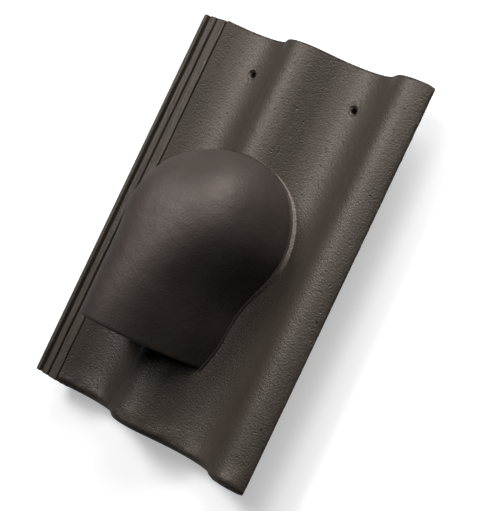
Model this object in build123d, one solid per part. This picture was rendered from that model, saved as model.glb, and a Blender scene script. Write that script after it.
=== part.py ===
from build123d import *
from math import atan2, cos, hypot, radians, sin, tan
import os

# Tile, in millimetres: X across the roof, Y up the slope, Z away from the roof
tile_length = 420.0
tile_thickness = 12.0
left_corner_radius = 3.0   # in plan
right_corner_radius = 8.0
nose_radius = 6.0          # top edge of the tail
head_edge_radius = 2.0

# Rolls: two crests and two troughs made of arcs joined by straight flanks
roll_pitch = 150.0
roll_height = 36.0         # trough floor to crest
crest_radius = 36.0
flank_angle = 41.5         # steepest slope, degrees
right_edge_angle = 45.5    # slope at which the last roll is cut off square
body_edge_to_crest = 28.7  # body's left edge to the crest that the next tile's last roll covers
body_edge_radius = 1.0     # upper left edge of the body

# Interlock on the left: bands from the body outwards, as (width, top height)
side_channel = (7.9, 13.0)
land = (12.1, 16.0)
narrow_groove = (3.6, 9.0)
inner_rib = (8.4, 15.6)
wide_groove = (5.4, 9.0)
outer_rib = (4.8, 15.6)
interlock_bottom = 3.5
rib_edge_radius = 0.7
tail_notch = (3.5, 4.0)    # small gap beside the land at the tail, across and along

# Underside
rib_side_clearance = 0.6   # each side of an overlap rib in the narrow groove
rib_tip_clearance = 3.0    # under an overlap rib in the grooves
nib_width = 38.0
nib_depth = 20.0
nib_drop = 16.0            # below the trough's underside
nib_draft = 6.0            # degrees
nib_corner_radius = 3.0
nib_to_head = 10.0
weather_bar_width = 6.0
weather_bar_drop = 2.5
weather_bar_count = 2
weather_bar_pitch = 24.0
first_bar_to_tail = 14.0

# Nail holes, one in each trough
nail_hole_diameter = 6.0
nail_dimple_diameter = 11.0
nail_dimple_depth = 1.8
nail_holes_to_head = 42.5
right_nail_off_trough = 2.0    # towards the first crest

# Cable hole through the first roll, under the hood's dome
cable_hole_diameter = 60.0
cable_hole_to_tail = 232.0

# Hood: an elliptical tunnel that swells into half an ellipsoid
hood_wall = 4.0
mouth_height = 111.0       # above the trough floors
mouth_to_tail = 83.0
mouth_left_to_crest = 88.0
mouth_right_to_crest = 47.0
mouth_lip_radius = 1.6
waist_to_tail = 149.0      # where the right side begins to swell
waist_right_to_crest = 55.7
dome_height = 113.5
dome_to_tail = 214.0       # widest section of the dome
dome_length = 83.8         # beyond that section
dome_left_to_crest = 94.0
dome_right_to_crest = 74.0
tunnel_steps = 6           # sections of the loft along the tunnel

# Foot flange and sealing bead: widths at the mouth, the widest section and the dome's upper end
flange_widths = (0.8, 4.0, 1.6)
flange_height = 2.2
bead_widths = (3.6, 6.0, 2.6)
bead_height = 3.2

# Rolls worked out from the sizes above
slope = radians(flank_angle)
half_pitch = roll_pitch / 2
body_reach = roll_pitch - body_edge_to_crest    # to the first crest
trough_radius = (half_pitch * tan(slope) - roll_height) * cos(slope) / (1 - cos(slope)) - crest_radius
interlock_bands = (side_channel, land, narrow_groove, inner_rib, wide_groove, outer_rib)
interlock_width = sum(width for width, top in interlock_bands)
to_narrow_groove = side_channel[0] + land[0] + narrow_groove[0] / 2     # from the body to its middle
to_wide_groove = to_narrow_groove + narrow_groove[0] / 2 + inner_rib[0] + wide_groove[0] / 2
overlap_reach = crest_radius * sin(radians(right_edge_angle))
tile_width = interlock_width + body_reach + roll_pitch + overlap_reach
first_crest_x = -tile_width / 2 + interlock_width + body_reach
body_left_x = first_crest_x - body_reach
trough_x = (first_crest_x - half_pitch, first_crest_x + half_pitch)
nail_x = (trough_x[0], trough_x[1] - right_nail_off_trough)
rest_height = tile_thickness + nib_drop
far = 600.0                # longer than anything that it cuts


def crest_arc(number, lift, start, sweep):
    """Arc over a crest; number counts rolls from the first one, which is 0."""
    centre = (first_crest_x + number * roll_pitch, roll_height - crest_radius)
    return CenterArc(centre, crest_radius + lift, start, sweep)


def wave_path(lift, first, last, square_end=False):
    """Upper surface of the rolls, lifted along its normal, from crest to crest."""
    edges = [crest_arc(first, lift, 90, -flank_angle)]
    for number in range(first, last):
        centre = (first_crest_x + (number + 0.5) * roll_pitch, trough_radius)
        trough = CenterArc(centre, trough_radius - lift, 270 - flank_angle, 2 * flank_angle)
        edges.append(Line(edges[-1] @ 1, trough @ 0))
        edges.append(trough)
        ends_here = number + 1 == last
        end_angle = (right_edge_angle if square_end else 0) if ends_here else flank_angle
        crest = crest_arc(number + 1, lift, 90 + flank_angle, -flank_angle - end_angle)
        edges.append(Line(trough @ 1, crest @ 0))
        edges.append(crest)
    return edges


def wave_band(low, high, first, last, square_end=False):
    """Region between two lifts of the rolls' surface."""
    under = wave_path(low, first, last, square_end)
    over = wave_path(high, first, last, square_end)
    ends = [Line(under[0] @ 0, over[0] @ 0), Line(under[-1] @ 1, over[-1] @ 1)]
    return make_face(under + over + ends)


def along(sketch, start, length):
    """Prism of a cross-section, from start towards the head."""
    return Pos(0, start, 0) * extrude(Plane.XZ * sketch, amount=-length)


def interlock_section():
    """Ribs and grooves that the neighbouring tile laps over."""
    inside = body_left_x + side_channel[0]
    points = [(inside, interlock_bottom), (inside, side_channel[1])]
    x = body_left_x
    for width, top in interlock_bands:
        points.append((x, top))
        points.append((x - width, top))
        x -= width
    points.append((x, interlock_bottom))
    section = make_face(Polyline(points, close=True))
    ridges = [v for v in section.vertices() if v.Y > narrow_groove[1] and v.X < body_left_x - 1]
    return fillet(ridges, rib_edge_radius)


def overlap_rib(groove_x):
    """Rib under the last roll that drops into a groove of the next tile."""
    width = narrow_groove[0] - 2 * rib_side_clearance
    top = roll_height - tile_thickness / 2
    bottom = narrow_groove[1] + rib_tip_clearance
    return Pos(groove_x + 2 * roll_pitch, (top + bottom) / 2) * Rectangle(width, top - bottom)


def body_section():
    """Cross-section of the rolls between the interlock and the square right edge."""
    band = wave_band(-tile_thickness, 0, -1, 1, square_end=True)
    left_of_body = Pos(body_left_x - far / 2, 0) * Rectangle(far, far)
    return band - left_of_body


def overlap_section():
    """Ribs under the last roll that drop into the grooves of the next tile."""
    return overlap_rib(body_left_x - to_narrow_groove) + overlap_rib(body_left_x - to_wide_groove)


def nib(x):
    """Hanging nib that hooks over the batten, tapered towards its tip."""
    seat = Plane((x, tile_length - nib_to_head - nib_depth / 2, -tile_thickness / 2), z_dir=(0, 0, -1))
    foot = RectangleRounded(nib_width, nib_depth, nib_corner_radius)
    return extrude(seat * foot, amount=nib_drop + tile_thickness / 2, taper=nib_draft)


def weather_bar(number):
    """Low bar across the underside near the tail, from clear of the interlock to the first overlap rib."""
    start = first_bar_to_tail + number * weather_bar_pitch
    section = wave_band(-tile_thickness - weather_bar_drop, -tile_thickness / 2, -1, 1)
    left, right = body_left_x + interlock_width, body_left_x + 2 * roll_pitch - to_wide_groove
    reach = Pos((left + right) / 2, 0) * Rectangle(right - left, far)
    return along(section & reach, start, weather_bar_width)


def nail_hole(x):
    """Hole with a shallow dimple, square to the trough floor."""
    drill = Cylinder(nail_hole_diameter / 2, far)
    dimple = Cone(nail_hole_diameter / 2, nail_dimple_diameter / 2, nail_dimple_depth)
    above = Cylinder(nail_dimple_diameter / 2, roll_height, align=(Align.CENTER, Align.CENTER, Align.MIN))
    cutter = drill + Pos(0, 0, -nail_dimple_depth / 2) * dimple + above
    return Pos(x, tile_length - nail_holes_to_head, 0) * cutter


def tile_plan():
    """Outline of the tile seen from above."""
    plan = Pos(0, tile_length / 2) * Rectangle(tile_width, tile_length)
    plan = fillet([v for v in plan.vertices() if v.X > tile_width / 2 - 0.01], right_corner_radius)
    return fillet([v for v in plan.vertices() if v.X < 0.01 - tile_width / 2], left_corner_radius)


def roof_tile():
    blank = along(body_section(), 0, tile_length)
    nose = [e for e in blank.edges() if is_top_edge(e, 0)]
    blank = fillet(nose, nose_radius)
    crown = [e for e in blank.edges() if is_top_edge(e, tile_length)]
    blank = fillet(crown, head_edge_radius)
    side = [e for e in blank.edges() if is_body_edge(e)]
    blank = fillet(side, body_edge_radius)
    blank += along(interlock_section() + overlap_section(), 0, tile_length)
    blank &= extrude(tile_plan(), amount=far, both=True)
    notch_x = body_left_x - tail_notch[0] / 2
    blank -= Pos(notch_x, 0, 0) * Box(tail_notch[0], 2 * tail_notch[1], far)
    for x in trough_x:
        blank += nib(x)
    for number in range(weather_bar_count):
        blank += weather_bar(number)
    for x in nail_x:
        blank -= nail_hole(x)
    return blank - Pos(first_crest_x, cable_hole_to_tail, 0) * Cylinder(cable_hole_diameter / 2, far)


def is_top_edge(edge, y):
    """True for an edge of the rolls' upper surface on the end face at y."""
    start, middle = edge.position_at(0), edge.position_at(0.5)
    at_end = abs(start.Y - y) < 0.01 and abs(middle.Y - y) < 0.01
    return at_end and abs(lift_of(middle)) < 0.01


def is_body_edge(edge):
    """True for the long upper edge on the body's left."""
    middle = edge.position_at(0.5)
    return abs(middle.X - body_left_x) < 0.01 and abs(lift_of(middle)) < 0.01


def lift_of(point):
    """Distance of a point from the rolls' upper surface, along its normal."""
    across = abs((point.X - first_crest_x + half_pitch) % roll_pitch - half_pitch)
    over_crest = point.Z - roll_height + crest_radius
    if atan2(across, over_crest) <= slope:
        return hypot(across, over_crest) - crest_radius
    to_trough, under_centre = half_pitch - across, trough_radius - point.Z
    if atan2(to_trough, under_centre) <= slope:
        return trough_radius - hypot(to_trough, under_centre)
    return across * sin(slope) + over_crest * cos(slope) - crest_radius


def swell(start, end, share):
    """Value that turns smoothly from start to end as share goes from 0 to 1."""
    return start + (end - start) * share * share * (3 - 2 * share)


def right_reach(y):
    """Reach of the hood's right side from the first crest, at y along the tunnel."""
    if y <= waist_to_tail:
        share = (y - mouth_to_tail) / (waist_to_tail - mouth_to_tail)
        return mouth_right_to_crest + share * (waist_right_to_crest - mouth_right_to_crest)
    share = (y - waist_to_tail) / (dome_to_tail - waist_to_tail)
    return swell(waist_right_to_crest, dome_right_to_crest, share)


def hood_form(mouth_grow, grow, upper_grow):
    """The hood's solid form, grown at the mouth, at the widest section and at the upper end."""
    sections = []
    for step in range(tunnel_steps + 1):
        share = step / tunnel_steps
        y = mouth_to_tail + share * (dome_to_tail - mouth_to_tail)
        left = swell(mouth_left_to_crest, dome_left_to_crest, share)
        right = right_reach(y)
        wider = swell(mouth_grow, grow, share)
        height = swell(mouth_height, dome_height, share) + wider
        centre = (first_crest_x + (right - left) / 2, y, 0)
        station = Plane(centre, x_dir=(1, 0, 0), z_dir=(0, -1, 0))
        sections.append(station * Ellipse((left + right) / 2 + wider, height))
    ball = Rotation(90, 0, 0) * Sphere(1)
    dome = Pos(centre) * scale(ball, by=((left + right) / 2 + wider, dome_length + upper_grow, height))
    upper = Pos(0, dome_to_tail, 0) * Box(far, far, far, align=(Align.CENTER, Align.MIN, Align.CENTER))
    return loft(sections) + (dome & upper)


def above_rolls(low, high):
    """Space over the tile between two lifts of its surface."""
    return along(wave_band(low, high, -1, 2), 0, tile_length)


def cable_hood():
    inside = hood_form(-hood_wall, -hood_wall, -hood_wall)
    outside = hood_form(0, 0, 0)
    outside = fillet([e for e in outside.edges() if is_mouth_edge(e)], mouth_lip_radius)
    shell = (outside - inside) & along(open_air(), 0, tile_length)
    return shell + ((hood_form(*flange_widths) - inside) & above_rolls(0, flange_height))


def open_air():
    """Everything above the rolls' surface, in cross-section."""
    path = wave_path(0, -1, 2)
    left, right = path[0] @ 0, path[-1] @ 1
    sky = Polyline(left, (left.X, far), (right.X, far), right)
    return make_face(path + [sky])


def is_mouth_edge(edge):
    """True for the edge round the mouth of the hood's form."""
    start, middle = edge.position_at(0), edge.position_at(0.5)
    return abs(start.Y - mouth_to_tail) < 0.01 and abs(middle.Y - mouth_to_tail) < 0.01


def sealing_bead():
    reach = [flange + bead for flange, bead in zip(flange_widths, bead_widths)]
    return (hood_form(*reach) - hood_form(*flange_widths)) & above_rolls(0, bead_height)


def placed(shape):
    """Moves a shape to the part's frame: middle of the tile, on the plane of its nib tips."""
    return Pos(0, -tile_length / 2, rest_height) * shape


os.makedirs("parts", exist_ok=True)
export_step(placed(roof_tile()), "parts/roof_tile.step")
export_step(placed(cable_hood()), "parts/cable_hood.step")
export_step(placed(sealing_bead()), "parts/sealing_bead.step")
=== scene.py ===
from math import acos, atan2, cos, hypot, pi, radians, sin, sqrt, tan

import bmesh
import bpy
import numpy as np
from mathutils import Matrix, Vector


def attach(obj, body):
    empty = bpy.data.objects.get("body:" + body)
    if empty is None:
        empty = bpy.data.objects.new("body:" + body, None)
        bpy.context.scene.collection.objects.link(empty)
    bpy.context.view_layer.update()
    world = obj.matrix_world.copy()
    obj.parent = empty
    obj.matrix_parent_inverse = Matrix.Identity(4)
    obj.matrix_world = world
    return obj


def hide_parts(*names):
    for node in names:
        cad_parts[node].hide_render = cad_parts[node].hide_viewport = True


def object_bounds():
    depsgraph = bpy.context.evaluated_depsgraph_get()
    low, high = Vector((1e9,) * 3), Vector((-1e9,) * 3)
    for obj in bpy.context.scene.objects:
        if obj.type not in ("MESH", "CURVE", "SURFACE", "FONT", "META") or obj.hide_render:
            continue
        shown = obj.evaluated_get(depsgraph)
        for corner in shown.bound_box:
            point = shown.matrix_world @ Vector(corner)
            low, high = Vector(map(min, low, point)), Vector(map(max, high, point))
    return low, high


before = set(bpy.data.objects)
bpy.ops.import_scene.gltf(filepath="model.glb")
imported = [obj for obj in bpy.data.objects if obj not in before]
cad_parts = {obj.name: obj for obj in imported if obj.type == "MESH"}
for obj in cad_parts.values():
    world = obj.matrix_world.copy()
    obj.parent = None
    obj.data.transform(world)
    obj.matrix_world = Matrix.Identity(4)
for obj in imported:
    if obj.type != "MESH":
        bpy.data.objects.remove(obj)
cadLow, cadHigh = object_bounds()
mm = 0.001
sameSpot = 0.001 * mm          # points nearer than this are merged
print("frame loaded")


class Flow:  # one socket's output; operators on it add the Math nodes
    def __init__(self, bench, socket):
        self.bench, self.socket = bench, socket

    def math(self, operation, *others, clamp=False):
        settings = {"operation": operation, "use_clamp": clamp}
        return self.bench.add("ShaderNodeMath", settings, dict(enumerate((self, *others))))

    def __add__(self, other):
        return self.math("ADD", other)

    def __radd__(self, other):
        return self.math("ADD", other)

    def __sub__(self, other):
        return self.math("SUBTRACT", other)

    def __rsub__(self, other):
        return self.bench.add("ShaderNodeMath", {"operation": "SUBTRACT"}, {0: other, 1: self})

    def __mul__(self, other):
        return self.math("MULTIPLY", other)

    def __rmul__(self, other):
        return self.math("MULTIPLY", other)

    def __truediv__(self, other):
        return self.math("DIVIDE", other)

    def __pow__(self, other):
        return self.math("POWER", other)

    def __abs__(self):
        return self.math("ABSOLUTE")

    def clamped(self):  # kept between 0 and 1
        return self.math("ADD", 0.0, clamp=True)

    def ramp(self, start, end):  # 0 before start, 1 after end
        return ((self - start) * (1 / (end - start))).clamped()


class Bench:  # adds and links the nodes of one tree
    def __init__(self, tree):
        self.tree = tree
        tree.nodes.clear()

    def pick(self, sockets, key):
        if isinstance(key, int):
            return sockets[key]
        for socket in sockets:
            if socket.identifier == key:
                return socket
        return sockets[key]

    def add(self, kind, settings=None, inputs=None, output=0):
        node = self.tree.nodes.new(kind)
        for name, value in (settings or {}).items():
            setattr(node, name, value)
        for key, value in (inputs or {}).items():
            socket = self.pick(node.inputs, key)
            if isinstance(value, Flow):
                self.tree.links.new(value.socket, socket)
            else:
                socket.default_value = value
        if len(node.outputs) == 0:
            return node
        return Flow(self, self.pick(node.outputs, output))

    def vector(self, operation, inputs):
        return self.add("ShaderNodeVectorMath", {"operation": operation}, inputs, "Vector")

    def split(self, vector):  # its x, y and z
        node = self.add("ShaderNodeSeparateXYZ", inputs={0: vector}).socket.node
        return [Flow(self, output) for output in node.outputs]

    def mixColour(self, factor, first, second):
        inputs = {"Factor_Float": factor, "A_Color": first, "B_Color": second}
        return self.add("ShaderNodeMix", {"data_type": "RGBA"}, inputs, "Result_Color")

    def noise(self, place, scale, detail=2.0, roughness=0.5, seed=None):
        inputs = {"Vector": place, "Scale": scale, "Detail": detail, "Roughness": roughness}
        if seed is None:
            return self.add("ShaderNodeTexNoise", {"noise_dimensions": "3D"}, inputs, "Fac")
        inputs["W"] = seed
        return self.add("ShaderNodeTexNoise", {"noise_dimensions": "4D"}, inputs, "Fac")


def grey(level):
    return (level, level, level, 1.0)


def newMaterial(name):
    material = bpy.data.materials.new(name)
    material.use_nodes = True
    return material, Bench(material.node_tree)


def finishSurface(bench, look, colour, roughness, relief, depth):  # look: the finish's dictionary
    bumpInputs = {"Strength": 1.0, "Distance": depth, "Height": relief}
    inputs = {
        "Base Color": colour,
        "Roughness": roughness,
        "Specular IOR Level": look["specular"],
        "Specular Tint": look["sheen"],
        "Normal": bench.add("ShaderNodeBump", inputs=bumpInputs, output="Normal"),
    }
    surface = bench.add("ShaderNodeBsdfPrincipled", inputs=inputs, output="BSDF")
    bench.add("ShaderNodeOutputMaterial", inputs={"Surface": surface})


def addObject(name, data):
    made = bpy.data.objects.new(name, data)
    bpy.context.scene.collection.objects.link(made)
    return made


def plainMesh(piece):  # applies its modifiers
    bpy.context.view_layer.update()
    ready = piece.evaluated_get(bpy.context.evaluated_depsgraph_get())
    mesh = bpy.data.meshes.new_from_object(ready)
    piece.modifiers.clear()
    piece.data = mesh


def smooth(piece, degrees):  # apart from the edges that turn by more than this
    piece.data.shade_smooth()
    piece.data.set_sharp_from_angle(angle=radians(degrees))


def placePiece(piece, node):
    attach(piece, "root")
    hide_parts(node)


class Recipe:  # a Geometry Nodes tree with named inputs
    def __init__(self, name, inputs):
        self.tree = bpy.data.node_groups.new(name, "GeometryNodeTree")
        self.bench = Bench(self.tree)
        face = self.tree.interface
        face.new_socket("Geometry", in_out="INPUT", socket_type="NodeSocketGeometry")
        face.new_socket("Geometry", in_out="OUTPUT", socket_type="NodeSocketGeometry")
        self.keys = {}
        for label, (kind, value) in inputs.items():
            socket = face.new_socket(label, in_out="INPUT", socket_type="NodeSocket" + kind)
            if value is not None:
                socket.default_value = value
            self.keys[label] = socket.identifier
        self.start = self.bench.add("NodeGroupInput").socket.node

    def read(self, label):
        return Flow(self.bench, self.start.outputs[label])

    def column(self, name, kind="FLOAT"):  # an attribute of the path's points
        return self.bench.add("GeometryNodeInputNamedAttribute", {"data_type": kind}, {"Name": name})

    def store(self, geometry, name, value):
        settings = {"data_type": "FLOAT", "domain": "POINT"}
        inputs = {"Geometry": geometry, "Name": name, "Value": value}
        return self.bench.add("GeometryNodeStoreNamedAttribute", settings, inputs)

    def finish(self, geometry):
        real = self.bench.add("GeometryNodeRealizeInstances", inputs={"Geometry": geometry})
        inputs = {"Geometry": real, "Material": self.read("Finish")}
        done = self.bench.add("GeometryNodeSetMaterial", inputs=inputs)
        self.bench.add("NodeGroupOutput", inputs={0: done})

    def run(self, piece, values):
        modifier = piece.modifiers.new("shape", "NODES")
        modifier.node_group = self.tree
        for label, value in values.items():
            modifier[self.keys[label]] = value
        plainMesh(piece)


# The tile's wave: arcs over the crests and in the troughs, joined by straight flanks
wave = {
    "firstCrest": -6.089 * mm,
    "left": -127.389 * mm,     # the body's edge beside the interlock
    "right": 169.589 * mm,
    "tail": -210 * mm,
    "head": 210 * mm,
    "troughFloor": 28 * mm,
    "pitch": 150 * mm,
    "height": 36 * mm,
    "crestRadius": 36 * mm,
    "flank": radians(41.5),
}
halfPitch = wave["pitch"] / 2
# The troughs get the radius at which the arcs and the flank fill half a pitch and the height
bothRadii = (halfPitch * tan(wave["flank"]) - wave["height"]) * cos(wave["flank"]) / (1 - cos(wave["flank"]))
troughRadius = bothRadii - wave["crestRadius"]


def waveAt(x):  # height, and the angle by which the surface leans to the right
    offset = (x - wave["firstCrest"] + halfPitch) % wave["pitch"] - halfPitch
    fromCrest, side = abs(offset), 1 if offset >= 0 else -1
    fromTrough = halfPitch - fromCrest
    crest, flank = wave["crestRadius"], wave["flank"]
    crestMiddle = wave["troughFloor"] + wave["height"] - crest
    if fromCrest <= crest * sin(flank):
        rise = sqrt(crest**2 - fromCrest**2)
        return crestMiddle + rise, side * atan2(fromCrest, rise)
    if fromTrough <= troughRadius * sin(flank):
        rise = sqrt(troughRadius**2 - fromTrough**2)
        return wave["troughFloor"] + troughRadius - rise, side * atan2(fromTrough, rise)
    return crestMiddle + crest * cos(flank) - (fromCrest - crest * sin(flank)) * tan(flank), side * flank


def waveHeight(x):
    return waveAt(x)[0]


def waveNormal(x):
    lean = waveAt(x)[1]
    return Vector((sin(lean), 0, cos(lean)))


# Concrete of the tile. All noise scales are one over metres
concrete = {
    "light": (0.050, 0.0395, 0.0315, 1.0),
    "dark": (0.030, 0.0235, 0.0187, 1.0),
    "edgeShadeColour": (0.016, 0.011, 0.008, 1.0),     # painted shade along the right and head edges
    "grainScale": 560.0,
    "grainSpread": (0.35, 0.65),    # noise between these becomes 0 to 1
    "grainStretch": (0.7, 1.0, 1.0),    # longer across the slope
    "grainHarshness": 0.6,     # share that each finer layer of its noise keeps
    "grainDepth": 0.66 * mm,   # of the whole relief
    "fineScale": 1300.0,
    "patchScale": 14.0,
    "spread": (0.3, 0.7),      # of the other noises
    "tones": (0.4, 0.25, 0.35),     # shares of the grain, the fine grain and the patches
    "reliefs": (0.8, 0.2),     # shares of the grain and the fine grain
    "streakScale": 700.0,      # of the extruded streaks along the interlock
    "streakStretch": (1.0, 0.04, 1.0),
    "streakTone": 1.2,
    "streakRelief": 0.8,
    "streakEdge": 0.5 * mm,    # over which they end at the body
    "pitScale": 120.0,
    "pitSize": 0.15,
    # pits are painted darker by this share: painted shade in their hollows
    "pitShade": 0.7,
    "pitRelief": 0.5,
    "roughness": 0.43,
    "edgeShadeRoughness": 0.95,
    "specular": 0.5,
    "sheen": (1.0, 0.905, 0.84, 1.0),        # tint of the reflections
}


def streaksOnInterlock(bench, place):  # between -0.5 and 0.5
    stretched = bench.vector("MULTIPLY", {0: place, 1: concrete["streakStretch"]})
    streaks = bench.noise(stretched, concrete["streakScale"]).ramp(*concrete["spread"]) - 0.5
    onBody = bench.split(place)[0].ramp(wave["left"] - concrete["streakEdge"], wave["left"])
    return streaks * (1 - onBody)


def concreteMaterial(name, light, dark, bareAndLitMask=None):  # bareAndLitMask: where this tone, partly painted light, is free of the coat
    material, bench = newMaterial(name)
    place = bench.add("ShaderNodeTexCoord", output="Object")
    stretched = bench.vector("MULTIPLY", {0: place, 1: concrete["grainStretch"]})
    grain = bench.noise(stretched, concrete["grainScale"], roughness=concrete["grainHarshness"])
    fine = bench.noise(place, concrete["fineScale"], detail=1.0)
    patches = bench.noise(place, concrete["patchScale"], detail=3.0)
    cellInputs = {"Vector": place, "Scale": concrete["pitScale"]}
    cells = bench.add("ShaderNodeTexVoronoi", inputs=cellInputs, output="Distance")
    pits = 1 - cells.ramp(concrete["pitSize"] / 2, concrete["pitSize"])    # deepest within half their size
    streaks = streaksOnInterlock(bench, place)
    worn = bench.add("ShaderNodeAttribute", {"attribute_name": "worn"}, output="Fac")
    grainTone, fineTone, patchTone = concrete["tones"]
    tone = grain.ramp(*concrete["grainSpread"]) * grainTone
    tone = tone + fine.ramp(*concrete["spread"]) * fineTone + patches.ramp(*concrete["spread"]) * patchTone
    # darker pits: painted shade in the hollows
    tone = (tone * (1 - pits * concrete["pitShade"]) + streaks * concrete["streakTone"]).clamped()
    colour = bench.mixColour(tone, dark, light)
    # the pale tone shows only where the mask allows: partly painted light
    if bareAndLitMask:
        coated = bench.mixColour(tone, concrete["dark"], concrete["light"])
        colour = bench.mixColour(bareAndLitMask(bench, place), coated, colour)
    # the strip along the right and head edges is painted darker: painted shade
    colour = bench.mixColour(worn, colour, concrete["edgeShadeColour"])
    roughness = worn * (concrete["edgeShadeRoughness"] - concrete["roughness"]) + concrete["roughness"]
    relief = grain * concrete["reliefs"][0] + fine * concrete["reliefs"][1]
    relief = relief - pits * concrete["pitRelief"] + streaks * concrete["streakRelief"]
    finishSurface(bench, concrete, colour, roughness, relief, concrete["grainDepth"])
    return material


# Moulded plastic of the hood
plastic = {
    "light": (0.040, 0.0313, 0.0265, 1.0),
    "dark": (0.030, 0.0233, 0.0197, 1.0),
    "sheen": (1.0, 0.87, 0.82, 1.0),
    "peelScale": 420.0,
    "peelDepth": 0.26 * mm,
    "dentScale": 75.0,
    "dentRelief": 2.0,         # of the wide dents, against the peel's
    "patchScale": 22.0,
    "patchSpread": (0.3, 0.7),
    "roughness": 0.53,
    "specular": 0.5,
}


def plasticMaterial(name):
    material, bench = newMaterial(name)
    place = bench.add("ShaderNodeTexCoord", output="Object")
    peel = bench.noise(place, plastic["peelScale"])
    dents = bench.noise(place, plastic["dentScale"], detail=1.0) * plastic["dentRelief"]
    patches = bench.noise(place, plastic["patchScale"]).ramp(*plastic["patchSpread"])
    colour = bench.mixColour(patches, plastic["dark"], plastic["light"])
    finishSurface(bench, plastic, colour, plastic["roughness"], peel + dents, plastic["peelDepth"])
    return material


# Tile: the CAD tile cut to an even mesh on top, then roughened
tilePiece = {
    "step": 1.75 * mm,         # of the mesh on the upper surface
    "hidden": (-74 * mm, 46 * mm, -90 * mm, 60 * mm),    # under the hood: x and y ranges
    "topDepth": 6.5 * mm,      # faces this far below the wave, as at the nose, still are on top
    "topLean": 0.15,           # and their normals point up by at least this
    "slack": 0.1 * mm,         # beside the body's edge
    "flat": 0.05,              # degrees; facets that turn by less are joined before the cuts
    "trueTo": 0.16 * mm,       # points this near to the wave are laid on it
    "noseLength": 7 * mm,      # apart from this stretch at the tail
    "sideGap": mm,             # and this one at the body's left and right edges
    "sharp": 32,               # degrees
    "corner": 6 * mm,
    "facing": (0.05, 0.3),     # upward part of the normal where the roughness starts and is full
    "chatterDepth": 0.14 * mm,
    "chatterScale": 165.0,
    "noseDepth": 1.8 * mm,     # for the part of the noise above its start
    "noseStart": 0.35,
    "noseScale": 170.0,
    "noseReach": 16 * mm,
    "bankDepth": 3.0 * mm,     # the surface rises a little before the nose
    "bankReach": 28 * mm,
    "bankScale": 40.0,
    "bankFoot": (1.5 * mm, 7.5 * mm),    # from the tail
    "bankPower": 1.5,
    "bankSpread": (0.35, 0.6),
    "bankShares": (0.3, 1.1),  # least and most
    "leftFade": (mm, 3 * mm),  # of nose and bank at the body's edges
    "rightFade": (mm, 12 * mm),
    "edgeDepth": 2.7 * mm,     # for the part of the noise above its start
    "edgeStart": 0.4,
    "edgeScale": 90.0,
    "edgeReach": 3.5 * mm,
    "craterDepth": 1.3 * mm,
    "craterReach": 10 * mm,
    "craterScale": 260.0,
    "craterSpread": (0.4, 0.6),
    "edgeShadeWidth": 2.4 * mm,
    "edgeShadeScale": 300.0,
    "edgeShadeSpread": (0.35, 0.65),
    "edgeShadeStrength": 5.0,
    "edgeShadeMost": 0.95,
    "nailRow": 167.5 * mm,
    "rightNailOff": 2 * mm,    # it sits this much nearer the first roll than the trough's middle
    "seed": 7.0,
}
nailHoles = (
    (wave["firstCrest"] - halfPitch, tilePiece["nailRow"]),
    (wave["firstCrest"] + halfPitch - tilePiece["rightNailOff"], tilePiece["nailRow"]),
)


def mergedShape(node):
    shape = bmesh.new()
    shape.from_mesh(node.data)
    bmesh.ops.remove_doubles(shape, verts=shape.verts, dist=sameSpot)
    return shape


def cutFaces(shape, faces, places, axis):  # the middle place first, so that later cuts meet few faces
    if not places or not faces:
        return
    middle = len(places) // 2
    point, normal = Vector(), Vector()
    point[axis], normal[axis] = places[middle], 1.0
    edges = {edge for face in faces for edge in face.edges}
    points = {vert for face in faces for vert in face.verts}
    geometry = list(faces) + list(edges) + list(points)
    onCut = sameSpot / 10
    result = bmesh.ops.bisect_plane(shape, geom=geometry, dist=onCut, plane_co=point, plane_no=normal)
    low, high = [], []
    for item in result["geom"]:
        if isinstance(item, bmesh.types.BMFace):
            (low if item.calc_center_bounds()[axis] < places[middle] else high).append(item)
    cutFaces(shape, low, places[:middle], axis)
    cutFaces(shape, high, places[middle + 1 :], axis)


def steps(low, high, step):
    count = round((high - low) / step)
    return [low + (high - low) * (number + 0.5) / count for number in range(count)]


def isTop(face):
    place = face.calc_center_median()
    if not wave["left"] - tilePiece["slack"] < place.x < wave["right"]:
        return False
    if face.normal.z < tilePiece["topLean"]:
        return False
    return (place.z - waveHeight(place.x)) * waveNormal(place.x).z > -tilePiece["topDepth"]


def isHidden(face):
    left, right, low, high = tilePiece["hidden"]
    place = face.calc_center_bounds()
    return left < place.x < right and low < place.y < high


def layOnWave(vert):
    normal = waveNormal(vert.co.x)
    lift = (vert.co.z - waveHeight(vert.co.x)) * normal.z
    onBody = wave["left"] + tilePiece["sideGap"] < vert.co.x < wave["right"] - tilePiece["sideGap"]
    behindNose = vert.co.y > wave["tail"] + tilePiece["noseLength"]
    if onBody and behindNose and abs(lift) < tilePiece["trueTo"]:
        vert.co = vert.co - normal * lift


def roundCorner(vert):  # in plan, where the last roll ends at the tail
    radius = tilePiece["corner"]
    middle = Vector((wave["right"] - radius, wave["tail"] + radius))
    away = vert.co.xy - middle
    if away.x > 0 and away.y < 0 and away.length > radius:
        vert.co.xy = middle + away.normalized() * radius


def evenTile():
    shape = mergedShape(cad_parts["roof_tile"])
    flat = radians(tilePiece["flat"])
    bmesh.ops.dissolve_limit(shape, angle_limit=flat, verts=shape.verts, edges=shape.edges)
    onTop = [face for face in shape.faces if isTop(face)]
    cutFaces(shape, onTop, steps(cadLow.y, cadHigh.y, tilePiece["step"]), 1)
    seen = [face for face in shape.faces if isTop(face) and not isHidden(face)]
    cutFaces(shape, seen, steps(wave["left"], wave["right"], tilePiece["step"]), 0)
    for vert in shape.verts:
        layOnWave(vert)
        roundCorner(vert)
    mesh = bpy.data.meshes.new("concreteTile")
    shape.to_mesh(mesh)
    shape.free()
    return addObject("concreteTile", mesh)


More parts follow.
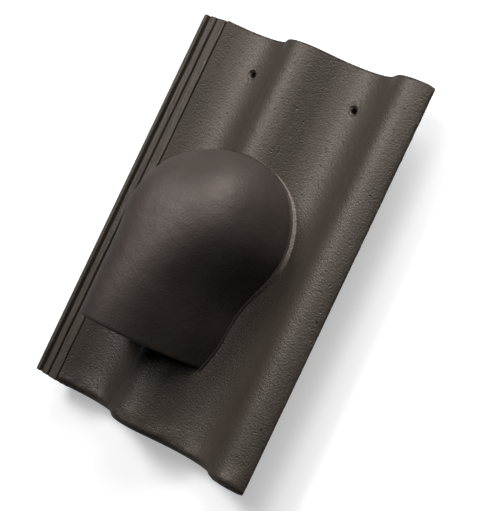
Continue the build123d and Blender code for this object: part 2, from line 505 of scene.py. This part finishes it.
def roughRecipe():
    recipe = Recipe("roughTile", {
        "Chatter Depth": ("Float", tilePiece["chatterDepth"]),
        "Chatter Scale": ("Float", tilePiece["chatterScale"]),
        "Nose Depth": ("Float", tilePiece["noseDepth"]),
        "Nose Scale": ("Float", tilePiece["noseScale"]),
        "Nose Reach": ("Float", tilePiece["noseReach"]),
        "Bank Depth": ("Float", tilePiece["bankDepth"]),
        "Bank Reach": ("Float", tilePiece["bankReach"]),
        "Bank Scale": ("Float", tilePiece["bankScale"]),
        "Edge Depth": ("Float", tilePiece["edgeDepth"]),
        "Edge Scale": ("Float", tilePiece["edgeScale"]),
        "Edge Reach": ("Float", tilePiece["edgeReach"]),
        "Crater Depth": ("Float", tilePiece["craterDepth"]),
        "Crater Reach": ("Float", tilePiece["craterReach"]),
        "Seed": ("Float", tilePiece["seed"]),
        "Finish": ("Material", None),
    })
    bench = recipe.bench
    place = bench.add("GeometryNodeInputPosition")
    normal = bench.add("GeometryNodeInputNormal")
    x, y = bench.split(place)[:2]
    fromLeft, fromRight = x - wave["left"], wave["right"] - x
    fromTail, fromHead = y - wave["tail"], wave["head"] - y

    def noise(scale, seed, detail=2.0):  # each one has its own distance from the seed
        return bench.noise(place, scale, detail, seed=recipe.read("Seed") + seed)

    def near(distance, reach):  # 1 at the edge, 0 beyond the reach
        return (1 - distance / reach).math("MAXIMUM", 0.0)

    chatter = noise(recipe.read("Chatter Scale"), 0.0) * recipe.read("Chatter Depth")
    ripple = (noise(recipe.read("Nose Scale"), 3.0) - tilePiece["noseStart"]).math("MAXIMUM", 0.0)
    nose = ripple * near(fromTail, recipe.read("Nose Reach")) * recipe.read("Nose Depth")
    chips = (noise(recipe.read("Edge Scale"), 5.0, 3.0) - tilePiece["edgeStart"]).math("MAXIMUM", 0.0)
    chips = chips * near(fromRight, recipe.read("Edge Reach")) * recipe.read("Edge Depth")
    least, most = tilePiece["bankShares"]
    uneven = noise(recipe.read("Bank Scale"), 13.0, 1.0).ramp(*tilePiece["bankSpread"])
    bank = near(fromTail, recipe.read("Bank Reach")) ** tilePiece["bankPower"]
    bank = bank * fromTail.ramp(*tilePiece["bankFoot"]) * recipe.read("Bank Depth")
    bank = bank * (uneven * (most - least) + least)
    onBody = fromLeft.ramp(*tilePiece["leftFade"]) * fromRight.ramp(*tilePiece["rightFade"])
    onTop = bench.split(normal)[2].ramp(*tilePiece["facing"])
    depth = (chatter + (nose - bank) * onBody) * onTop + chips
    for nailX, nailY in nailHoles:
        aside, ahead = x - nailX, y - nailY
        crater = near((aside * aside + ahead * ahead) ** 0.5, recipe.read("Crater Reach"))
        crater = crater * noise(tilePiece["craterScale"], 9.0).ramp(*tilePiece["craterSpread"])
        depth = depth + crater * recipe.read("Crater Depth") * onTop
    # a strip along the right and head edges gets a darker colour, which is painted shade, and more roughness
    edges = near(fromRight, tilePiece["edgeShadeWidth"]) + near(fromHead, tilePiece["edgeShadeWidth"])
    edgeShadeBreakup = noise(tilePiece["edgeShadeScale"], 11.0).ramp(*tilePiece["edgeShadeSpread"])
    worn = (edges * tilePiece["edgeShadeStrength"] * edgeShadeBreakup).math("MINIMUM", tilePiece["edgeShadeMost"])
    worn = worn * fromLeft.ramp(0, mm)    # not on the interlock
    push = bench.vector("SCALE", {0: normal, 3: 0 - depth})
    kept = recipe.store(recipe.read("Geometry"), "worn", worn)
    recipe.finish(bench.add("GeometryNodeSetPosition", inputs={"Geometry": kept, "Offset": push}))
    return recipe


def makeTile(finish):
    made = evenTile()
    roughRecipe().run(made, {"Finish": finish})
    smooth(made, tilePiece["sharp"])
    placePiece(made, "roof_tile")
    return made


tileFinish = concreteMaterial("coatedConcrete", concrete["light"], concrete["dark"])
concreteTile = makeTile(tileFinish)
print("tile roughened,", len(concreteTile.data.polygons), "faces")

# Hood: one smooth skin through sections across the tile, then given its wall
# In millimetres: at from the tail, high over the trough floors, the others from the first crest
hoodSections = {
    "mouth": {"at": 83, "left": 87.5, "right": 45.5, "high": 110.5, "apex": -20},
    "throat": {"at": 115, "left": 88.5, "right": 52, "high": 112.5, "apex": -15.5},
    "waist": {"at": 147, "left": 91, "right": 54.5, "high": 113, "apex": -12},
    "flare": {"at": 179, "left": 93.5, "right": 64, "high": 112.5, "apex": -11},
    "shoulder": {"at": 211, "left": 97.5, "right": 73.5, "high": 111, "apex": -14.5},
    "dome": {"at": 243, "left": 93, "right": 71, "high": 108.5, "apex": -11},
    "back": {"at": 275, "left": 88.5, "right": 66, "high": 105, "apex": -12},
}
hoodPiece = {               # millimetres, apart from the wall
    "mouth": hoodSections["mouth"]["at"],
    "leftPower": (2.05, 2.1),  # roundness of the sections at the mouth and at the dome
    "rightPower": (1.95, 3.2),
    "fullPower": 230,          # where the second roundness is reached
    "closeFrom": 199.5,        # from here the dome closes, to nothing at its end
    "closePower": 3,           # how blunt that end is
    "end": 298,
    "leastArea": 1e-6,         # of a section, as a share, so that nothing is divided by zero
    "turnShare": 0.6,          # of the closing; past it the sections follow the dome's turn
    "ceiling": 113.3,
    "lip": 2.6,                # radius of the rim
    "lipSteps": 6,
    "spacing": 2.0,            # between sections
    "points": 96,              # across a section
    "sunk": 3.0,               # below the tile's surface
    "halvings": 40,            # in the search for the place where a side meets the tile
    "wall": 4 * mm,
    "sharp": 50,               # degrees
}
hoodFinish = plasticMaterial("hoodPlastic")


def curveThrough(places, values):  # natural cubic spline
    count = len(places)
    gaps = np.diff(places)
    matrix, right = np.eye(count), np.zeros(count)
    for number in range(1, count - 1):
        before, after = gaps[number - 1], gaps[number]
        matrix[number, number - 1 : number + 2] = before, 2 * (before + after), after
        slopeBefore = (values[number] - values[number - 1]) / before
        slopeAfter = (values[number + 1] - values[number]) / after
        right[number] = 6 * (slopeAfter - slopeBefore)
    bends = np.linalg.solve(matrix, right)

    def value(place):
        number = min(max(int(np.searchsorted(places, place)) - 1, 0), count - 2)
        gap, past = gaps[number], place - places[number]
        bend, nextBend = bends[number], bends[number + 1]
        slope = (values[number + 1] - values[number]) / gap - gap * (2 * bend + nextBend) / 6
        return values[number] + past * (slope + past * (bend / 2 + past * (nextBend - bend) / (6 * gap)))

    return value


def swell(start, end, share):  # from start to end, level at both
    share = min(max(share, 0.0), 1.0)
    return start + (end - start) * share * share * (3 - 2 * share)


def hoodCurve(name):
    sections = hoodSections.values()
    return curveThrough([section["at"] for section in sections], [section[name] for section in sections])


hoodCurves = {name: hoodCurve(name) for name in ("left", "right", "high", "apex")}


def hoodSection(y):  # middle, left and right halves, height and the two powers, at y from the tail
    closing = max(y - hoodPiece["closeFrom"], 0.0) / (hoodPiece["end"] - hoodPiece["closeFrom"])
    size = sqrt(max(1 - closing ** hoodPiece["closePower"], hoodPiece["leastArea"]))
    left, right, high, apex = (hoodCurves[name](y) for name in ("left", "right", "high", "apex"))
    high = min(high * size, hoodPiece["ceiling"])
    share = (y - hoodPiece["mouth"]) / (hoodPiece["fullPower"] - hoodPiece["mouth"])
    powers = [swell(*hoodPiece[name], share) for name in ("leftPower", "rightPower")]
    return apex * size, (left + apex) * size, (right - apex) * size, high, *powers


def onSection(section, turn):  # x from the crest and height over the trough floors
    middle, left, right, high, leftPower, rightPower = section
    half, power = (right, rightPower) if turn < pi / 2 else (left, leftPower)
    across = abs(cos(turn)) ** (2 / power) * half
    return middle + (across if turn < pi / 2 else -across), high * sin(turn) ** (2 / power)


def tileHeight(x):  # over the trough floors, in millimetres
    return (waveHeight(wave["firstCrest"] + x * mm) - wave["troughFloor"]) / mm


def meets(section, side, lift):  # turn at which a section's side meets the tile, or None
    low, high = (0.0, pi / 2) if side > 0 else (pi, pi / 2)
    x, z = onSection(section, high)
    if z < tileHeight(x) + lift:
        return None
    for halving in range(hoodPiece["halvings"]):
        turn = (low + high) / 2
        x, z = onSection(section, turn)
        low, high = (turn, high) if z < tileHeight(x) + lift else (low, turn)
    return high


def hoodStations():
    start, close, end = hoodPiece["mouth"], hoodPiece["closeFrom"], hoodPiece["end"]
    lip, spacing = hoodPiece["lip"], hoodPiece["spacing"]
    share, power = hoodPiece["turnShare"], hoodPiece["closePower"]
    lipTurn = pi / 2 / hoodPiece["lipSteps"]
    stations = [start + lip * (1 - cos(step * lipTurn)) for step in range(hoodPiece["lipSteps"])]
    stations += list(np.arange(start + lip, close + share * (end - close), spacing))
    turns = np.arange(acos(sqrt(1 - share**power)), pi / 2, spacing / hoodSections["dome"]["high"])
    return stations + [close + (end - close) * (1 - cos(turn) ** 2) ** (1 / power) for turn in turns]


hoodColumns = ("place", "rightHalf", "leftHalf", "high", "rightRound", "leftRound", "from", "to")


def hoodPath():  # a row of hoodColumns for each section
    rows = []
    start, lip = hoodPiece["mouth"], hoodPiece["lip"]
    for y in hoodStations():
        middle, left, right, high, leftPower, rightPower = hoodSection(y)
        inset = lip - sqrt(max(lip**2 - max(lip - (y - start), 0.0) ** 2, 0.0))    # the rim's quarter circle
        left, right, high = left - inset, right - inset, high - inset
        section = (middle, left, right, high, leftPower, rightPower)
        limits = [meets(section, side, -hoodPiece["sunk"]) for side in (1, -1)]
        if None in limits:
            break
        place = (wave["firstCrest"] + middle * mm, wave["tail"] + y * mm, wave["troughFloor"])
        rows.append((place, right * mm, left * mm, high * mm, 2 / rightPower, 2 / leftPower, *limits))
    return rows


def pathObject(name, rows, names):  # the rows' first column is the place; all are kept as attributes
    mesh = bpy.data.meshes.new(name)
    mesh.from_pydata([row[0] for row in rows], [(n, n + 1) for n in range(len(rows) - 1)], [])
    for column, label in enumerate(names):
        vector = isinstance(rows[0][column], (tuple, Vector))
        values = mesh.attributes.new(label, "FLOAT_VECTOR" if vector else "FLOAT", "POINT").data
        if vector:
            values.foreach_set("vector", [part for row in rows for part in row[column]])
        else:
            values.foreach_set("value", [row[column] for row in rows])
    return addObject(name, mesh)


def sweep(recipe, profile, extra=None):  # the profile along the path, with its own turn kept as a column
    bench = recipe.bench
    path = bench.add("GeometryNodeMeshToCurve", inputs={"Mesh": recipe.read("Geometry")})
    turned = recipe.store(profile, "turn", bench.add("GeometryNodeSplineParameter", output="Factor"))
    inputs = {"Curve": path, "Profile Curve": turned, **(extra or {})}
    return bench.add("GeometryNodeCurveToMesh", inputs=inputs)


def skinRecipe():
    recipe = Recipe("sectionSkin", {
        "Points": ("Int", hoodPiece["points"]),
        "Finish": ("Material", None),
    })
    bench, column = recipe.bench, recipe.column
    # The line only counts the points: the columns below give them their places
    line = bench.add("GeometryNodeCurvePrimitiveLine", inputs={"Start": (0, 0, 0), "End": (0, 0, 0.01)})
    line = bench.add("GeometryNodeResampleCurve", inputs={"Curve": line, "Count": recipe.read("Points")})
    skin = sweep(recipe, line)
    turn = column("from") + (column("to") - column("from")) * column("turn")
    aside, rise = turn.math("COSINE"), turn.math("SINE").math("MAXIMUM", 0.0)
    onRight = aside.math("GREATER_THAN", 0.0)
    half = column("rightHalf") * onRight - column("leftHalf") * (1 - onRight)
    power = column("rightRound") * onRight + column("leftRound") * (1 - onRight)
    x, z = abs(aside) ** power * half, rise**power * column("high")
    spot = bench.add("ShaderNodeCombineXYZ", inputs={0: x, 2: z})
    spot = bench.vector("ADD", {0: column("place", "FLOAT_VECTOR"), 1: spot})
    recipe.finish(bench.add("GeometryNodeSetPosition", inputs={"Geometry": skin, "Position": spot}))
    return recipe


def tidySkin(mesh, names):  # closes the seams and turns the faces outwards
    for name in names + ("turn",):
        mesh.attributes.remove(mesh.attributes[name])
    shape = bmesh.new()
    shape.from_mesh(mesh)
    bmesh.ops.remove_doubles(shape, verts=shape.verts, dist=sameSpot)
    bmesh.ops.recalc_face_normals(shape, faces=shape.faces)
    shape.faces.ensure_lookup_table()
    highest = max(shape.faces, key=lambda face: face.calc_center_median().z)
    if highest.normal.z < 0:
        bmesh.ops.reverse_faces(shape, faces=shape.faces)
    shape.to_mesh(mesh)
    shape.free()


def makeHood():
    made = pathObject("mouldedHood", hoodPath(), hoodColumns)
    skinRecipe().run(made, {"Finish": hoodFinish})
    tidySkin(made.data, hoodColumns)
    solid = made.modifiers.new("wall", "SOLIDIFY")
    solid.thickness = hoodPiece["wall"]
    solid.offset = -1.0
    solid.use_even_offset = True
    plainMesh(made)
    smooth(made, hoodPiece["sharp"])
    placePiece(made, "cable_hood")
    return made


mouldedHood = makeHood()
print("hood made,", len(mouldedHood.data.polygons), "faces")

# Foot flange and mortar bead: sections swept along the hood's foot
bead = {
    # pale mortar tone, shown only in a stretch on the dome's right side, partly painted light
    "light": (0.220, 0.184, 0.160, 1.0),
    "dark": (0.045, 0.036, 0.030, 1.0),
    "bareAndLitAcross": (27 * mm, 31 * mm),     # the tile's coat covers the mortar, apart from a pale stretch on the dome's right side that starts and fades here; its paleness is partly painted light, its fade towards the mouth painted shade
    "bareAndLitAlong": (-8 * mm, 18 * mm),      # stretch beside the dome that starts and fades here
    "flange": (0.3, 3.6, 0.3),      # millimetres wide at the mouth, beside the dome and behind it
    "width": (0.8, 3.1, 1.1),
    "widthPower": 3,           # how late the first width swells to the second
    "flangeUnder": 1.5,        # millimetres of the flange under the hood's wall
    "overFlange": 0.2,         # millimetres of the bead over the flange
    "flangeHeight": 2.0 * mm,
    "height": 2.2 * mm,
    "dome": 205,               # millimetres from the tail to where the foot begins to turn
    "centre": -10,             # of that turn, from the crest
    "farthest": 140.0,         # from there to a place outside the hood
    "nearEnough": 1e-4,        # of a place to the foot
    "probes": (120, 360),      # along a side and round the turn
    "spacing": 0.8,            # between sections
    "apart": 2,                # sections each way, between which the foot's direction is read
    "sides": 20,               # of the section
    "cove": 0.75,              # share of the section's turn on the cove, the rest is the base
    "fold": 0.01,              # share of it between the two
    "hollow": 1.2,             # how hollow the cove is
    "flangeHollow": 0.14,
    "sunk": 0.3,               # the base's depth below the tile's surface, as a share of the height
    "sharp": 50,               # degrees
    "grainDepth": 1.1 * mm,
    "grainScale": 420.0,
    "grainTurn": 4,            # how far the grain changes round the section
    "seed": 3.0,
}


def insideHood(x, y):  # x from the crest, y from the tail: is the tile there under the hood?
    if y >= hoodPiece["end"] - bead["nearEnough"]:
        return False
    middle, left, right, high, leftPower, rightPower = hoodSection(y)
    half, power = (right, rightPower) if x > middle else (left, leftPower)
    return (abs(x - middle) / half) ** power + (tileHeight(x) / high) ** power < 1


def footPoint(y, turn):  # first place outside the hood, going that way from the turn's centre line
    near, far = 0.0, bead["farthest"]
    while far - near > bead["nearEnough"]:
        reach = (near + far) / 2
        inside = insideHood(bead["centre"] + reach * cos(turn), y + reach * sin(turn))
        near, far = (reach, far) if inside else (near, reach)
    return bead["centre"] + near * cos(turn), y + near * sin(turn)


def evenly(points, spacing):  # the same line with points at even distances
    lengths = [0.0]
    for before, after in zip(points, points[1:]):
        lengths.append(lengths[-1] + hypot(after[0] - before[0], after[1] - before[1]))
    stops = np.linspace(0, lengths[-1], round(lengths[-1] / spacing))
    return [tuple(np.interp(stop, lengths, column) for column in zip(*points)) for stop in stops]


def footPath():  # x, y and the width's place: 0 at the mouth, 1 beside the dome, 2 behind it
    mouth, dome = hoodPiece["mouth"], bead["dome"]
    sideProbes, turnProbes = bead["probes"]
    sides = np.linspace(mouth, dome, sideProbes)
    right = [(*footPoint(y, 0.0), (y - mouth) / (dome - mouth)) for y in sides]
    left = [(*footPoint(y, pi), (y - mouth) / (dome - mouth)) for y in sides]
    turns = np.linspace(0, pi, turnProbes)[1:-1]
    over = [(*footPoint(dome, turn), 1 + sin(turn) ** 2) for turn in turns]
    return evenly(right + over + left[::-1], bead["spacing"])


def widthAt(widths, place):
    if place <= 1:
        return swell(widths[0], widths[1], place ** bead["widthPower"])
    return swell(widths[1], widths[2], place - 1)


def flangeWidth(place):
    return widthAt(bead["flange"], place)


def beadEdge(place):
    return flangeWidth(place) + widthAt(bead["width"], place)


def onTile(x, y):
    place = wave["firstCrest"] + x * mm
    return Vector((place, wave["tail"] + y * mm, waveHeight(place)))


sweepColumns = ("place", "across", "rise")


def sweptRows(inner, outer, height):  # inner and outer give the section's edges, from the foot outwards
    path, apart = footPath(), bead["apart"]
    rows = []
    for number, (x, y, place) in enumerate(path):
        before, after = path[max(number - apart, 0)], path[min(number + apart, len(path) - 1)]
        along = Vector((after[0] - before[0], after[1] - before[1])).normalized()
        outX, outY = along.y, -along.x
        start = onTile(x + outX * inner(place), y + outY * inner(place))
        finish = onTile(x + outX * outer(place), y + outY * outer(place))
        rows.append((start, finish - start, waveNormal(start.x) * height))
    return rows


def sweepRecipe():
    recipe = Recipe("sweptSection", {
        "Sides": ("Int", bead["sides"]),
        "Hollow": ("Float", bead["hollow"]),
        "Grain Depth": ("Float", 0.0),
        "Grain Scale": ("Float", bead["grainScale"]),
        "Seed": ("Float", bead["seed"]),
        "Finish": ("Material", None),
    })
    bench = recipe.bench
    sides = {"Resolution": recipe.read("Sides")}
    ring = bench.add("GeometryNodeCurvePrimitiveCircle", {"mode": "RADIUS"}, sides, "Curve")
    swept = sweep(recipe, ring, {"Fill Caps": True})
    turn, place = recipe.column("turn"), recipe.column("place", "FLOAT_VECTOR")
    onCove = 1 - turn.ramp(bead["cove"], bead["cove"] + bead["fold"])
    aside = (turn / bead["cove"]).math("MINIMUM", (1 - turn) / (1 - bead["cove"]))
    seed = recipe.read("Seed") + turn * bead["grainTurn"]
    grain = (bench.noise(place, recipe.read("Grain Scale"), seed=seed) - 0.5) * recipe.read("Grain Depth")
    cove = (1 - aside).math("MAXIMUM", 0.0) ** recipe.read("Hollow") + grain
    up = cove * onCove - (1 - onCove) * bead["sunk"]
    sideways = bench.vector("SCALE", {0: recipe.column("across", "FLOAT_VECTOR"), 3: aside})
    upwards = bench.vector("SCALE", {0: recipe.column("rise", "FLOAT_VECTOR"), 3: up})
    spot = bench.vector("ADD", {0: place, 1: bench.vector("ADD", {0: sideways, 1: upwards})})
    recipe.finish(bench.add("GeometryNodeSetPosition", inputs={"Geometry": swept, "Position": spot}))
    return recipe


footRecipe = sweepRecipe()


def makeSwept(name, rows, values):
    made = pathObject(name, rows, sweepColumns)
    footRecipe.run(made, values)
    tidySkin(made.data, sweepColumns)
    smooth(made, bead["sharp"])
    return made


def makeFlange():
    rows = sweptRows(lambda place: -bead["flangeUnder"], flangeWidth, bead["flangeHeight"])
    footFlange = makeSwept("footFlange", rows, {"Hollow": bead["flangeHollow"], "Finish": hoodFinish})
    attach(footFlange, "root")
    return footFlange


def bareAndLitStretch(bench, place):  # 1 where the bead shows pale mortar: partly painted light, faded towards the mouth as painted shade
    x, y = bench.split(place)[:2]
    return x.ramp(*bead["bareAndLitAcross"]) * y.ramp(*bead["bareAndLitAlong"])


def makeBead():
    rows = sweptRows(lambda place: flangeWidth(place) - bead["overFlange"], beadEdge, bead["height"])
    finish = concreteMaterial("sealingMortar", bead["light"], bead["dark"], bareAndLitStretch)
    grain = bead["grainDepth"] / bead["height"]
    made = makeSwept("mortarBead", rows, {"Grain Depth": grain, "Finish": finish})
    placePiece(made, "sealing_bead")
    return made


footFlange, mortarBead = makeFlange(), makeBead()
print("foot made,", len(footFlange.data.polygons) + len(mortarBead.data.polygons), "faces")

# Floor, lights and camera
studio = {
    "floorSize": 12.0,
    "floorBounce": 0.12,       # how pale the floor is for the light that it sends back up
    "floorPaper": 0.75,        # and for the camera
    "floorGlow": 0.40,         # added for camera rays
    "farGlow": 0.60,           # more of it away from the tile
    "farFloor": (0.10, 0.90),  # metres from the tile's box
    "glossyGlow": 0.15,        # share of it that reflections see
    "paintedShadeUnderTile": (-95 * mm, -75 * mm),    # no glow and a dark colour inside this line under the tile: painted shade
    "fill": 0.005,             # light of the world
}
lampReach = 2.2                # metres from the tile's middle
lamps = {                      # direction from the tile, half width in degrees, light at the tile
    "key": ((-0.413, 0.322, 0.852), 15, 1.55),
    "keyMiddle": ((-0.413, 0.322, 0.852), 8, 0.84),
    "headEnd": ((0.224, 0.853, 0.471), 24, 4.25),
    "above": ((0.247, 0.288, 0.925), 15, 0.57),
}
view = {                       # the photograph's
    "place": (1.125195, -0.016781, 1.234474),
    "right": (0.669891, 0.429607, -0.605544),     # directions across and up the picture
    "up": (-0.312953, 0.902983, 0.294418),
    "sensor": 36.0,            # across the photograph's longer side
    "lens": 115.50,
    "shift": (-0.5 / 511, 0.5 / 511),    # half a pixel
}


def floorMaterial():
    material, bench = newMaterial("floorPaper")
    path = bench.add("ShaderNodeLightPath", output="Is Camera Ray")
    rays = path.socket.node.outputs
    glossy = Flow(bench, rays["Is Glossy Ray"]) * studio["glossyGlow"]
    seen = (path + glossy + Flow(bench, rays["Is Transmission Ray"])).math("MINIMUM", 1.0)
    across, along = bench.split(bench.add("ShaderNodeTexCoord", output="Object"))[:2]
    beyond = (abs(across) - cadHigh.x).math("MAXIMUM", abs(along) - cadHigh.y)
    # under the tile the floor loses its glow and its pale colour for the camera: painted shade
    seen = seen * beyond.ramp(*studio["paintedShadeUnderTile"])
    bounce = bench.mixColour(seen, grey(studio["floorBounce"]), grey(studio["floorPaper"]))
    paper = bench.add("ShaderNodeBsdfDiffuse", inputs={"Color": bounce}, output="BSDF")
    strength = seen * (beyond.ramp(*studio["farFloor"]) * studio["farGlow"] + studio["floorGlow"])
    glow = bench.add("ShaderNodeEmission", inputs={"Color": grey(1.0), "Strength": strength})
    both = bench.add("ShaderNodeAddShader", inputs={0: paper, 1: glow})
    bench.add("ShaderNodeOutputMaterial", inputs={"Surface": both})
    return material


def makeFloor():
    half = studio["floorSize"] / 2
    mesh = bpy.data.meshes.new("floor")
    corners = [(-half, -half, 0), (half, -half, 0), (half, half, 0), (-half, half, 0)]
    mesh.from_pydata(corners, [], [(0, 1, 2, 3)])
    mesh.materials.append(floorMaterial())
    floor = addObject("floor", mesh)


def makeWorld():
    world = bpy.data.worlds.new("studio")
    bpy.context.scene.world = world
    world.use_nodes = True
    bench = Bench(world.node_tree)
    path = bench.add("ShaderNodeLightPath", output="Is Camera Ray")
    seen = (path + Flow(bench, path.socket.node.outputs["Is Transmission Ray"])).math("MINIMUM", 1.0)
    strength = seen * (1.0 - studio["fill"]) + studio["fill"]
    sky = bench.add("ShaderNodeBackground", inputs={"Color": grey(1.0), "Strength": strength})
    bench.add("ShaderNodeOutputWorld", inputs={"Surface": sky})


def makeLamp(name, direction, halfWidth, strength):
    data = bpy.data.lights.new(name, "AREA")
    data.shape = "DISK"
    data.size = 2 * lampReach * tan(radians(halfWidth))
    data.energy = strength * pi * lampReach**2
    lamp = addObject(name, data)
    lamp.location = Vector(direction).normalized() * lampReach
    lamp.rotation_euler = lamp.location.to_track_quat("Z", "Y").to_euler()
    lamp.visible_camera = False


def makeCamera():
    data = bpy.data.cameras.new("camera")
    data.sensor_width = view["sensor"]
    data.lens = view["lens"]
    data.shift_x, data.shift_y = view["shift"]
    camera = addObject("camera", data)
    right, up = Vector(view["right"]), Vector(view["up"])
    axes = Matrix((right, up, right.cross(up))).transposed()
    camera.matrix_world = Matrix.Translation(view["place"]) @ axes.to_4x4()
    bpy.context.scene.camera = camera


makeFloor()
makeWorld()
for name, (direction, halfWidth, strength) in lamps.items():
    makeLamp(name, direction, halfWidth, strength)
makeCamera()
bpy.context.scene.view_settings.view_transform = "Standard"
print("studio ready")
